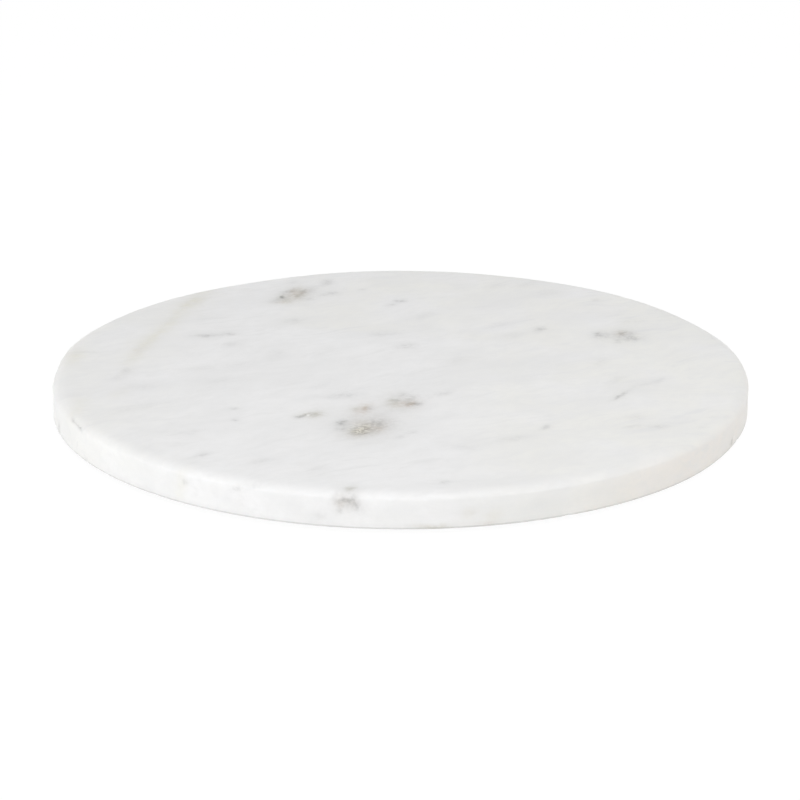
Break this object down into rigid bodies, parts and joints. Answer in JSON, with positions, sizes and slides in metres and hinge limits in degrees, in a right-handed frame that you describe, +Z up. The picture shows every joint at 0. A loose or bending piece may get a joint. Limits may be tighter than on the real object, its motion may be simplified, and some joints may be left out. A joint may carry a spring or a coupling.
{
  "type": "round marble serving board",
  "caption": "Round white marble serving board with softly rounded edges, for serving food, standing on small clear bumper feet bonded under the stone.",
  "frame": {"origin": "on the table, under the middle of the board, level with the treads of the feet", "axes": "+Z up, square to the serving face; -Y towards the front, the side the picture was taken from; +X to the right seen from the front"},
  "size_m": [0.3, 0.3, 0.017],
  "materials": {
    "marble": "satin",
    "silicone": "satin",
    "adhesive": "matte"
  },
  "bodies": {
    "root": {"marble_slab": "marble", "foot_front_left": "silicone", "foot_front_right": "silicone", "foot_back_right": "silicone", "foot_back_left": "silicone", "adhesive_front_left": "adhesive", "adhesive_front_right": "adhesive", "adhesive_back_right": "adhesive", "adhesive_back_left": "adhesive"}
  },
  "joints": []
}
